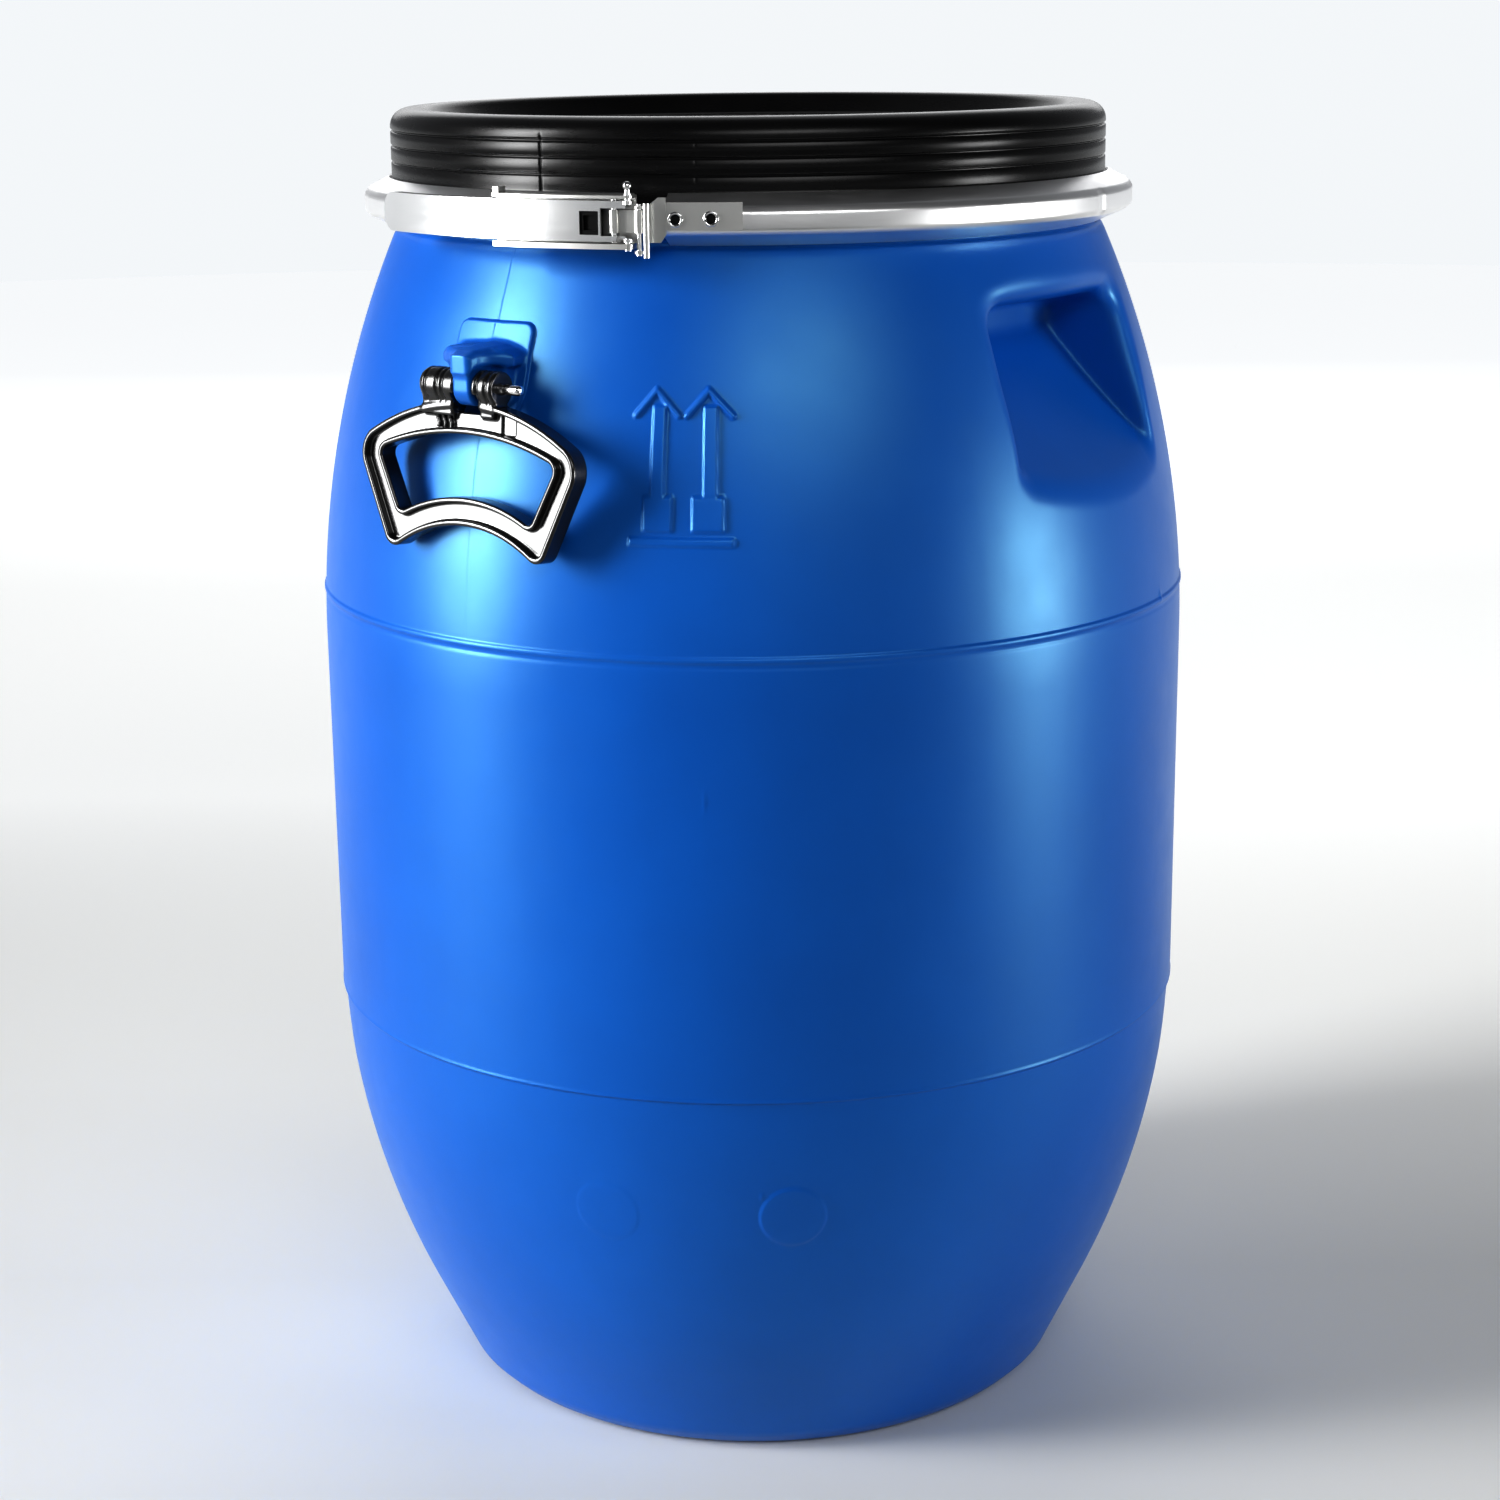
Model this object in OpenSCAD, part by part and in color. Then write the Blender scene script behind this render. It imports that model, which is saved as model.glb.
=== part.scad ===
// Open head plastic drum with a clamping ring, a toggle lever and two swing handles.
// Millimetres. The origin is the centre of the base on the floor, +Z up.
// Azimuths are turned about Z from -Y, positive towards +X.

/* [Body] */
// Largest radius of the body
body_r = 200; // [196:1:204]
// Height of the upper seam bead above the floor
seam_hi_z = 382.4; // [374:1:390]
// Height of the lower seam bead above the floor
seam_lo_z = 191; // [184:1:198]
// Wall thickness of the body
wall = 3; // [2.6:0.1:3.6]
// How far the middle of the base is raised above the foot ring
base_rise = 6; // [4:1:8]

/* [Lid] */
// Height of the top of the lid's rim above the floor
rim_z = 597; // [594:1:600]
// Depth of the stacking recess in the lid
recess_depth = 10; // [7:1:12]
// Outer radius of the lid's side wall
lid_r = 161.6; // [161:0.1:162]

/* [Clamping ring] */
// Sheet thickness of the ring and its closure
sheet = 1.2; // [1:0.1:1.3]
// Gap between the ring's ends, in degrees
ring_gap = 5; // [4.5:0.5:5.5]
// Length of the closing lever along the ring, in degrees
lever_span = 44; // [36:1:46]

/* [Swing handles] */
// Thickness of a handle's frame
handle_t = 9; // [8:0.5:9.5]
// Outward lean of a hanging handle, in degrees
handle_lean = 5; // [4:0.5:6]
// Radius of a handle pin
handle_pin_r = 2.25; // [2:0.05:2.5]

/* [Recessed grips] */
// Half width of a grip pocket
grip_half = 46; // [42:1:48]
// Height of the ceiling of a grip pocket
grip_top_z = 516; // [513:1:518]

/* [Hidden] */
$fn = 96;
eps = 0.01;

// body profile: a lower arc, a straight band and a shoulder arc
shoulder_z = 360;
shoulder_rho = 448.3;
lower_z = 210;
lower_rho = 386;
neck_top_z = 543.5;
base_r = 133.8;
function shoulder(z) = body_r - shoulder_rho + sqrt(pow(shoulder_rho, 2) - pow(z - shoulder_z, 2));
function belly(z) = body_r - lower_rho + sqrt(pow(lower_rho, 2) - pow(lower_z - z, 2));
function foot(z) = belly(45) - (45 - z) * 0.4728;
function body_at(z) = z < 45 ? foot(z) : z < 190 ? min(body_r - 0.6, belly(z)) : z < shoulder_z ? body_r : shoulder(z);

// mouth and neck
mouth_r = 150.5;
flange_r = 170.3;
flange_z = 555.6;

// clamping ring, with its face on radius ring_r
ring_r = 174;
ring_band_z = [545.8, 567.5];

// closure: the lever turns about a vertical axis on the left bracket
pin_az = -68.3;
hinge_rho = 180;
link_rho = 177.8;
link_s = [-6.5, 4.08];
pin_r = 1.15;
pin_fit = 0.05;
lever_z = [549, 565.2];
lever_face = 181;

// handle: pin axis
hp_rho = 195.5;
hp_z = 490;
barrel_r = 7.25;
// middle of the tongue and of the frame, beside the lug's own middle
tongue_s = 5.7;
frame_s = 6.2;

// points on an arc about c, from angle a to angle b in n steps
function arc(c, r, a, b, n) = [for (i = [0:n]) c + r * [cos(a + (b - a) * i / n), sin(a + (b - a) * i / n)]];
function flip(p) = [for (i = [len(p) - 1:-1:0]) p[i]];

// a piece turned to azimuth a, where it faces -Y
module at_az(a) { rotate([0, 0, a]) children(); }

// part of a ring between azimuths a and b
module ring_arc(a, b) { rotate([0, 0, a - 90]) rotate_extrude(angle = b - a, $fn = 180) children(); }

module slab(x0, x1, y0, y1, z0, z1) { translate([x0, y0, z0]) cube([x1 - x0, y1 - y0, z1 - z0]); }

// ---------------------------------------------------------------- body
function outer_side(inset) = concat(
    [for (z = [10, 20, 32, 45, 60, 78, 98, 120, 144, 168]) [body_at(z) - inset, z]],
    [[body_r - 0.6 - inset, seam_lo_z - 1.5], [body_r - inset, seam_lo_z + 1], [body_r - inset, shoulder_z]],
    [for (i = [1:12]) let (z = shoulder_z + (neck_top_z - shoulder_z) * i / 12) [shoulder(z) - inset, z]]);

module body_outer() {
    rotate_extrude($fn = 180)
        polygon(concat(
            [[0, base_rise], [112, base_rise], [118, 1.5], [122, 0], [base_r, 0], [139.4, 2], [142.5, 5]],
            outer_side(0),
            [[158.8, 544.5], [158.8, 546.9], [169.8, 551.9], [flange_r, 552.6], [flange_r, flange_z - 0.8],
             [flange_r - 0.8, flange_z], [0, flange_z]]));
}

module body_inner() {
    rotate_extrude($fn = 180)
        polygon(concat(
            [[0, base_rise + wall], [113, base_rise + wall], [120, 4.5], [132, 4.2], [137, 6.5]],
            outer_side(wall),
            [[155.8, 546], [mouth_r, 549.5], [mouth_r, flange_z + 1], [0, flange_z + 1]]));
}

// pocket of a grip in the radius and height plane, drawn with a margin m of wall
module grip_shape(m) {
    polygon([[131 - m, grip_top_z + m], [131 - m, 500.3 - m * 0.4], [142.1 - m, 487.4 - m * 0.6],
             [156 - m * 0.8, 472.8 - m * 0.8], [169.1 - m * 0.8, 460.2 - m * 0.8],
             [190 - m * 0.7, 441.6 - m * 0.7], [230, 406], [230, grip_top_z + m]]);
}

module grip_prism(m) {
    rotate([90, 0, -90]) translate([0, 0, -70]) linear_extrude(140) grip_shape(m);
}

// side walls of a grip pocket, with draft
module grip_wedge(m) {
    translate([0, 0, 380]) linear_extrude(180)
        polygon([[-grip_half - m, -120], [-grip_half - m - 14.3, -230], [grip_half + m + 14.3, -230], [grip_half + m, -120]]);
}

// moulded lug that carries a swing handle, facing -Y
module lug() {
    // pad on the body
    intersection() {
        union() {
            translate([0, 0, 0]) rotate([90, 0, 0]) translate([0, 0, 174])
                linear_extrude(12.5) polygon([[-19.5, 477], [19.5, 477], [19.5, 506], [16.5, 515], [-16.5, 515], [-19.5, 506]]);
        }
        rotate_extrude($fn = 120) polygon([[160, 470], [186.4, 470], [186.4, 512], [184.6, 516], [160, 516]]);
    }
    // shelf above the barrels, tapering to the nose
    rotate([0, 0, 0]) translate([0, 0, 499.2])
        linear_extrude(5.6) polygon([[-19.5, -184], [-19.5, -187.5], [-8.5, -195], [tongue_s - 4.7, -203], [tongue_s + 4.7, -203], [14, -197], [19.5, -187.5], [19.5, -184]]);
    // tongue between the barrels
    rotate([90, 0, 90]) translate([0, 0, tongue_s - 4.7])
        linear_extrude(9.4) polygon([[-184, 478], [-190, 482.4], [-199, 482.4], [-203, 486], [-203, 503], [-199, 508], [-184, 514]]);
}

module drum_body() {
    color([0.03, 0.13, 0.62])
    difference() {
        union() {
            difference() {
                union() {
                    body_outer();
                    // seam beads
                    for (z = [seam_hi_z])
                        rotate_extrude($fn = 180) polygon([[body_r - 3, z - 2.6], [body_at(z) + 0.2, z - 2], [body_at(z) + 0.7, z - 0.8],
                                                          [body_at(z) + 0.7, z + 0.8], [body_at(z) + 0.2, z + 2], [body_r - 3, z + 2.6]]);
                }
                body_inner();
            }
            // pocket walls
            for (a = [0, 180]) intersection() {
                body_outer();
                at_az(a) grip_prism(wall);
                at_az(a) grip_wedge(wall);
            }
            for (a = [-90, 90]) at_az(a) lug();
        }
        for (a = [0, 180]) intersection() { at_az(a) grip_prism(0); at_az(a) grip_wedge(0); }
        // pin holes through the tongues
        for (a = [-90, 90]) at_az(a)
            translate([tongue_s - 9, -hp_rho, hp_z]) rotate([0, 90, 0]) cylinder(r = handle_pin_r + 0.03, h = 18, $fn = 48);
    }
}

// ---------------------------------------------------------------- lid
recess_z = rim_z - recess_depth;
module lid() {
    color([0.05, 0.05, 0.055])
    rotate_extrude($fn = 180)
        polygon(concat(
            [[0, recess_z], [138.5, recess_z], [140.3, recess_z + 0.9], [145.6, rim_z - 1.6], [147.6, rim_z]],
            flip(arc([lid_r - 8, rim_z - 8], 8, 0, 90, 6)),
            [[lid_r, 567], [162.7, 565.7], [171.2, 561.4], [171.2, 556], [167.6, 556], [167.6, 559.6],
             [153.4, 559.6], [153.4, 556], [149.4, 556], [149.4, 541.4], [148.2, 540], [145.8, 540], [145.8, 562.6],
             [lid_r - 3.2, 562.6]],
            arc([lid_r - 8, rim_z - 8], 4.8, 0, 90, 5),
            [[149.2, rim_z - 3.2], [143.6, recess_z - 1.6], [140.6, recess_z - 3.2], [0, recess_z - 3.2]]));
}

module lid_gasket() {
    color([0.08, 0.08, 0.08])
    rotate_extrude($fn = 180)
        polygon([[154, 557.2], [155.6, 555.65], [165.4, 555.65], [167, 557.2], [167, 558.6], [166.4, 559.2], [154.6, 559.2], [154, 558.6]]);
}

// ---------------------------------------------------------------- clamping ring
ring_from = pin_az + 1.6 - ring_gap / 2;
rivet_left_az = [-32 - 52.7, -25 - 52.7];
rivet_right_az = [-9.65 - 52.7, -4.95 - 52.7];
rivet_right_z = [557.6, 557.9];
rivet_left_z = 556.6;

module ring_band() {
    color([0.72, 0.73, 0.74])
    difference() {
        ring_arc(ring_from + ring_gap, ring_from + 360)
            polygon([[162.7, 567.5], [172.3, 562.6], [ring_r, 560.2], [ring_r, 552.9], [172.4, 550.9], [160.5, 545.8],
                     [160.97, 544.7 + sheet * 2], [172.6 - sheet * 0.75, 552.2], [ring_r - sheet, 553.4], [ring_r - sheet, 559.9],
                     [171.6, 561.7], [162.7, 567.5 - sheet * 1.12]]);
        for (a = rivet_left_az) at_az(a) translate([0, -160, rivet_left_z]) rotate([90, 0, 0]) cylinder(r = 2.1, h = 30, $fn = 36);
        for (i = [0, 1]) at_az(rivet_right_az[i]) translate([0, -160, rivet_right_z[i]]) rotate([90, 0, 0]) cylinder(r = 2.3, h = 30, $fn = 36);
    }
}

// left bracket: channel around the lever, with ears on the hinge axis
module left_bracket() {
    color([0.78, 0.79, 0.8])
    difference() {
        union() {
            ring_arc(-36.1 - 52.7, pin_az + 0.7) translate([ring_r + 0.1, 546.1]) square([sheet, 21.3]);
            for (z = [[566.2, 1.2], [546.1, 2.2]]) {
                ring_arc(-35 - 52.7, pin_az) translate([ring_r + 0.1, z[0]]) square([8.3, z[1]]);
                at_az(pin_az) translate([0, -hinge_rho, z[0]]) cylinder(r = 2.1, h = z[1], $fn = 40);
                at_az(pin_az) slab(-3, 2.1, -hinge_rho, -ring_r - 0.4, z[0], z[0] + z[1]);
            }
            // raised stop on the left end of the upper flange
            at_az(-34.5 - 52.7) slab(-1.4, 1.4, -181.8, -177, 566.8, 570);
        }
        at_az(pin_az) translate([0, -hinge_rho, 540]) cylinder(r = pin_r + pin_fit, h = 40, $fn = 40);
        for (a = rivet_left_az) at_az(a) translate([0, -170, rivet_left_z]) rotate([90, 0, 0]) cylinder(r = 2.1, h = 10, $fn = 36);
        // clipped corner of the lower flange
        at_az(-35.4 - 52.7) translate([-3, -184, 540]) rotate([0, 0, 35]) slab(-8, 0, -2, 4, 0, 10);
    }
}

module left_rivets() {
    color([0.8, 0.8, 0.8])
    for (a = rivet_left_az) at_az(a) translate([0, 0, rivet_left_z]) rotate([90, 0, 0]) {
        translate([0, 0, 171.8]) cylinder(r = 3, h = 0.9, $fn = 40);
        translate([0, 0, 171.8]) cylinder(r = 2, h = 3.8, $fn = 36);
        translate([0, 0, 175.4]) cylinder(r = 3.1, h = 0.6, $fn = 40);
    }
}

// right bracket: a strap on the ring and a folded plate with two ears
module right_bracket() {
    color([0.7, 0.7, 0.68])
    difference() {
        union() {
            ring_arc(-11.2 - 52.7, -0.8 - 52.7) translate([ring_r + 0.1, 553.4]) square([sheet, 11]);
            // plate from the folded edge back to the strap
            at_az(-11.3 - 52.7) right_plate();
            // folded edge
            at_az(pin_az) {
                translate([7.4, -179, 542.6]) cylinder(r = 1.3, h = 21.6, $fn = 40);
                for (z = [[562, 1.2], [544.2, 1.2]]) {
                    translate([link_s[1], -link_rho, z[0]]) cylinder(r = 2.1, h = z[1], $fn = 40);
                    slab(link_s[1], 7.4, -179.6, -link_rho + 1.4, z[0], z[0] + z[1]);
                }
            }
        }
        at_az(pin_az) translate([link_s[1], -link_rho, 540]) cylinder(r = pin_r + pin_fit, h = 30, $fn = 40);
        for (i = [0, 1]) at_az(rivet_right_az[i]) translate([0, -170, rivet_right_z[i]]) rotate([90, 0, 0]) cylinder(r = 2.3, h = 10, $fn = 36);
    }
}

// outline in the tangent and height plane, at the plate's own azimuth
module right_plate() {
    rotate([90, 0, 0]) translate([0, 0, 174.6])
        linear_extrude(sheet) polygon([[-5.4, 548.4], [-1, 548.4], [1.2, 551.4], [1.2, 566.3], [-2, 566.3], [-5.4, 563.6]]);
    slab(-6.2, -5, -179.4, -174.6, 548.4, 563.6);
}

module right_rivets() {
    color([0.82, 0.82, 0.8])
    for (i = [0, 1]) at_az(rivet_right_az[i]) translate([0, 0, rivet_right_z[i]]) rotate([90, 0, 0])
        difference() {
            union() {
                translate([0, 0, 171.6]) cylinder(r = 2.4, h = 0.7, $fn = 40);
                translate([0, 0, 171.6]) cylinder(r = 2.2, h = 4.2, $fn = 40);
                translate([0, 0, 175.4]) cylinder(r = 3.2, h = 0.8, $fn = 40);
            }
            translate([0, 0, 171]) cylinder(r = 1.5, h = 6, $fn = 36);
        }
}

// lever: a curved channel with its open side towards the ring
lever_from = pin_az - lever_span;
module lever() {
    color([0.85, 0.86, 0.87])
    difference() {
        union() {
            difference() {
                ring_arc(lever_from + 3, pin_az) polygon([[176.6, lever_z[0]], [lever_face, lever_z[0]], [lever_face, lever_z[1]], [176.6, lever_z[1]],
                         [176.6, lever_z[1] - sheet], [lever_face - sheet, lever_z[1] - sheet], [lever_face - sheet, lever_z[0] + sheet], [176.6, lever_z[0] + sheet]]);
                // opening that the pull link swings through
                at_az(pin_az) slab(-11.4, 10, -185, -170, 551.3, 562.3);
            }
            // rounded free end
            intersection() {
                ring_arc(lever_from - 1, lever_from + 3.2) translate([lever_face - sheet, lever_z[0]]) square([sheet, lever_z[1] - lever_z[0]]);
                at_az(lever_from + 3) translate([0, -170, (lever_z[0] + lever_z[1]) / 2]) rotate([90, 0, 0]) cylinder(r = (lever_z[1] - lever_z[0]) / 2, h = 20, $fn = 64);
            }
            for (z = [lever_z[0], lever_z[1] - sheet]) at_az(pin_az) {
                translate([0, -hinge_rho, z]) cylinder(r = 1.95, h = sheet, $fn = 40);
                slab(-9, 0, -hinge_rho - 0.9, -hinge_rho + 1.9, z, z + sheet);
            }
        }
        // trim beyond the hinge eyes
        at_az(pin_az) difference() {
            slab(0, 8, -186, -170, 540, 575);
            translate([0, -hinge_rho, 539]) cylinder(r = 1.95, h = 40, $fn = 40);
        }
        at_az(pin_az) translate([0, -hinge_rho, 540]) cylinder(r = pin_r + pin_fit, h = 40, $fn = 40);
        at_az(pin_az) translate([link_s[0], -link_rho, 540]) cylinder(r = pin_r + pin_fit, h = 40, $fn = 40);
        // square window
        at_az(-20.8 - 52.7) slab(-4.1, 4.1, -185, -172, 551.7, 561.1);
    }
}

module lever_plug() {
    color([0.03, 0.03, 0.03])
    at_az(-20.8 - 52.7) difference() {
        union() {
            slab(-3.95, 3.95, -180.3, -177.6, 551.85, 560.95);
            slab(-4.6, 4.6, -179.3, -177.6, 551.3, 561.5);
        }
        slab(-2.6, 2.6, -181, -179.2, 553.4, 559.4);
    }
}

module upper_hinge_pin() {
    color([0.9, 0.9, 0.9])
    at_az(pin_az) translate([0, -hinge_rho, 0]) {
        translate([0, 0, 563.7]) cylinder(r = pin_r, h = 6.8, $fn = 40);
        translate([0, 0, 567.45]) cylinder(r = 1.6, h = 0.6, $fn = 40);
        translate([0, 0, 571.2]) sphere(r = 1.9, $fn = 40);
    }
}

module lower_hinge_pin() {
    color([0.9, 0.9, 0.9])
    at_az(pin_az) translate([0, -hinge_rho, 0]) {
        translate([0, 0, 545.6]) cylinder(r = pin_r, h = 4.8, $fn = 40);
        translate([0, 0, 545.5]) cylinder(r = 1.5, h = 0.55, $fn = 40);
    }
}

// flat link with an eye at each end
module pull_link() {
    color([0.6, 0.6, 0.6])
    at_az(pin_az) difference() {
        union() {
            for (s = link_s) translate([s, -link_rho, 552.5]) cylinder(r = 2.05, h = 9, $fn = 40);
            slab(link_s[0], link_s[1], -link_rho + 0.5, -link_rho + 1.7, 552.5, 561.5);
        }
        for (s = link_s) translate([s, -link_rho, 550]) cylinder(r = pin_r + pin_fit, h = 14, $fn = 40);
    }
}

module lever_link_pin() {
    color([0.9, 0.9, 0.9])
    at_az(pin_az) translate([link_s[0], -link_rho, 548.65]) cylinder(r = pin_r, h = 17, $fn = 40);
}

module bracket_link_pin() {
    color([0.92, 0.92, 0.92])
    at_az(pin_az) translate([link_s[1], -link_rho, 0]) {
        translate([0, 0, 543.5]) cylinder(r = pin_r, h = 20.4, $fn = 40);
        translate([0, 0, 543.4]) cylinder(r = 1.5, h = 0.7, $fn = 40);
    }
}

// ---------------------------------------------------------------- swing handle
// frame in its own plane: pin axis through the origin along X, hanging along -Y, facing +Z

// corner at b between a and c, rounded with radius r
function round_corner(a, b, c, r, n = 5) =
    let (u = (a - b) / norm(a - b), w = (c - b) / norm(c - b),
         half = acos(u * w) / 2, t = r / tan(half),
         m = b + (u + w) / norm(u + w) * r / sin(half),
         p = b + u * t, q = b + w * t)
    [for (i = [0:n]) let (k = (p * (n - i) + q * i) / n - m) m + k / norm(k) * r];

// four-sided outline with a bulging top edge and a hollow bottom edge, grown by g
function frame_outline(yt, rt, yb, rb, x0, y0, k, ct, cb, top, bot, n = 7) =
    let (arc_t = [for (i = [-n:n]) let (x = top * i / n) [x, yt + sqrt(rt * rt - x * x)]],
         arc_b = [for (i = [n:-1:-n]) let (x = bot * i / n) [x, yb + sqrt(rb * rb - x * x)]],
         tr = ct, br = cb,
         kt = [x0 + k * (ty(x0, y0, k, yt, rt) - y0), ty(x0, y0, k, yt, rt)],
         kb = [x0 + k * (ty(x0, y0, k, yb, rb) - y0), ty(x0, y0, k, yb, rb)])
    concat(arc_t,
           round_corner(arc_t[2 * n], kt, kb, tr), round_corner(kt, kb, arc_b[0], br),
           arc_b,
           round_corner(arc_b[2 * n], [-kb[0], kb[1]], [-kt[0], kt[1]], br),
           round_corner([-kb[0], kb[1]], [-kt[0], kt[1]], arc_t[0], tr));

// height where the side line x = x0 + k (y - y0) meets the circle of radius r about [0, yc]
function ty(x0, y0, k, yc, r) =
    let (e = x0 - k * y0, a = 1 + k * k, b = k * e - yc, c = e * e + yc * yc - r * r)
    (-b + sqrt(b * b - a * c)) / a;

// outer edge moved in by g, and window moved out by g
function outer_edge(g) = frame_outline(-109, 103 - g, -123.5, 66.2 + g, 51.5 - 1.1 * g, -50, 0.455, 10 - g * 0.8, 7 - g * 0.8, 44, 30);
function window_edge(g) = frame_outline(-150, 130.5 + g, -123.5, 78 - g, 42.1 + 1.12 * g, -42, 0.495, 4 + g, 2.6 + g, 38, 27);

module handle_frame() {
    difference() {
        union() {
            translate([frame_s, 0, 0]) {
                difference() {
                    translate([0, 0, -handle_t / 2]) linear_extrude(handle_t) polygon(outer_edge(0));
                    // web recessed between the raised rims
                    translate([0, 0, handle_t / 2 - 3.2]) linear_extrude(4) polygon(outer_edge(2.5));
                }
                // rim around the window
                translate([0, 0, -handle_t / 2]) linear_extrude(handle_t) polygon(window_edge(2.4));
            }
            // barrels on the pin
            for (b = [[-20.3, 21], [tongue_s + 5, 11]])
                translate([b[0], 0, 0]) rotate([0, 90, 0]) cylinder(r = barrel_r, h = b[1], $fn = 60);
            for (b = [[-19.3, 17.5], [13.2, 8]])
                translate([b[0], -13, -handle_t / 2]) cube([b[1], 10, handle_t]);
        }
        // finger window
        translate([frame_s, 0, -10]) linear_extrude(20) polygon(window_edge(0));
        // notch for the lug's tongue
        translate([tongue_s - 7, -11, -10]) cube([14, 8, 20]);
        translate([-30, 0, 0]) rotate([0, 90, 0]) cylinder(r = handle_pin_r + pin_fit, h = 65, $fn = 48);
    }
}

// the frame hung on its lug, facing -Y
module hung_handle() {
    translate([0, -hp_rho, hp_z]) rotate([-handle_lean, 0, 0]) rotate([90, 0, 0]) handle_frame();
}

module hung_pin() {
    translate([0, -hp_rho, hp_z]) rotate([0, 90, 0]) {
        translate([0, 0, -17.5]) cylinder(r = handle_pin_r, h = 50, $fn = 48);
    }
}

module left_handle() { color([0.06, 0.06, 0.07]) at_az(-90) hung_handle(); }
module right_handle() { color([0.06, 0.06, 0.07]) at_az(90) hung_handle(); }
module left_handle_pin() { color([0.75, 0.75, 0.75]) at_az(-90) hung_pin(); }
module right_handle_pin() { color([0.75, 0.75, 0.75]) at_az(90) hung_pin(); }

drum_body();
lid();
lid_gasket();
ring_band();
left_bracket();
left_rivets();
right_bracket();
right_rivets();
lever();
lever_plug();
upper_hinge_pin();
lower_hinge_pin();
pull_link();
lever_link_pin();
bracket_link_pin();
left_handle();
left_handle_pin();
right_handle();
right_handle_pin();
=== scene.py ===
import math
import bpy
import bmesh
import numpy as np
from mathutils import Matrix


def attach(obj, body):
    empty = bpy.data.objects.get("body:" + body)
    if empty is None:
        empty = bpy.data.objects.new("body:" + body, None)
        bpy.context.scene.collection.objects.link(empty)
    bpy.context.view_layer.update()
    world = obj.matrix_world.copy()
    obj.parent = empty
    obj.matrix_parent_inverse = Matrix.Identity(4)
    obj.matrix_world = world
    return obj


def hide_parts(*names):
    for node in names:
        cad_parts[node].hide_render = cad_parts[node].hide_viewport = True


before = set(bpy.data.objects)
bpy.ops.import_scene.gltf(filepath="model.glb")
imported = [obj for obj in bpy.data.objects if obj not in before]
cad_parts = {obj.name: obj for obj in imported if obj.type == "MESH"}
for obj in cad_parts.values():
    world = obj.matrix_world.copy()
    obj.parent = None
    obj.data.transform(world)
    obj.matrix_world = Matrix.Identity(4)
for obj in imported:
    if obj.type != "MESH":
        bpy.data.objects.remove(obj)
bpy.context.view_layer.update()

MM = 0.001
ZONE = -52.7                # azimuth of the camera's side of the drum, in degrees


# ------------------------------------------------------------------ helpers
def rad(a):
    return math.radians(a)


def polar(az, r, z):
    """Point at azimuth az (degrees, from -Y towards +X), radius r and height z."""
    az = np.radians(az)
    return np.stack(np.broadcast_arrays(np.sin(az) * r, -np.cos(az) * r, z), -1)


def add_mesh(name, verts, faces, body, mat, smooth=True, replaces=(), sharp=None, bevel=None, weld=False):
    """Mesh object from arrays in millimetres. weld joins the points that share one place, as at the tip of a turned piece."""
    verts = np.asarray(verts, float).reshape(-1, 3) * MM
    if weld:
        verts[np.hypot(verts[:, 0], verts[:, 1]) < 0.45 * MM, :2] = 0
    me = bpy.data.meshes.new(name)
    if isinstance(faces, np.ndarray):
        n, k = faces.shape
        me.vertices.add(len(verts))
        me.vertices.foreach_set("co", verts.astype(np.float32).ravel())
        me.loops.add(n * k)
        me.loops.foreach_set("vertex_index", faces.astype(np.int32).ravel())
        me.polygons.add(n)
        me.polygons.foreach_set("loop_start", np.arange(0, n * k, k, dtype=np.int32))
        me.polygons.foreach_set("loop_total", np.full(n, k, dtype=np.int32))
        me.update(calc_edges=True)
    else:
        me.from_pydata([tuple(v) for v in verts], [], faces)
    me.validate()
    if weld:
        bm = bmesh.new()
        bm.from_mesh(me)
        bmesh.ops.remove_doubles(bm, verts=bm.verts, dist=1e-7)
        bm.to_mesh(me)
        bm.free()
    me.polygons.foreach_set("use_smooth", [bool(smooth)] * len(me.polygons))
    me.update()
    ob = bpy.data.objects.new(name, me)
    bpy.context.scene.collection.objects.link(ob)
    me.materials.append(mat)
    if bevel:
        m = ob.modifiers.new("bevel", "BEVEL")
        m.width, m.segments, m.limit_method, m.angle_limit = bevel * MM, 3, "ANGLE", rad(35)
        m.harden_normals = False
    if sharp:
        me.set_sharp_from_angle(angle=rad(sharp))
    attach(ob, body)
    if replaces:
        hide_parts(*replaces)
    return ob


def grid_faces(rows, cols, wrap):
    """Quads of a rows x cols grid of points, row by row."""
    i = np.arange(rows - 1)[:, None]
    j = np.arange(cols if wrap else cols - 1)[None, :]
    j2 = (j + 1) % cols
    a, b, c, d = i * cols + j, i * cols + j2, (i + 1) * cols + j2, (i + 1) * cols + j
    return np.stack([a, b, c, d], -1).reshape(-1, 4)


def lathe(profile, n=256, az0=0.0, az1=360.0):
    """Closed profile [(r, z)...] turned about Z. A full turn, or a piece with end caps."""
    p = np.asarray(profile, float)
    full = abs(az1 - az0 - 360) < 1e-6
    k = n if full else n + 1
    az = az0 + (az1 - az0) * np.arange(k) / n
    v = np.stack([polar(az, np.full(k, r), np.full(k, z)) for r, z in p], 0)
    m = len(p)
    i = np.arange(m)[:, None]
    i2 = (i + 1) % m
    j = np.arange(k if full else k - 1)[None, :]
    j2 = (j + 1) % k
    f = np.stack([i * k + j, i * k + j2, i2 * k + j2, i2 * k + j], -1).reshape(-1, 4)
    faces = [tuple(int(x) for x in q) for q in f]
    if not full:
        faces.append(tuple(int(q * k) for q in range(m))[::-1])
        faces.append(tuple(int(q * k + k - 1) for q in range(m)))
    else:
        return v.reshape(-1, 3), f
    return v.reshape(-1, 3), faces


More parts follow.
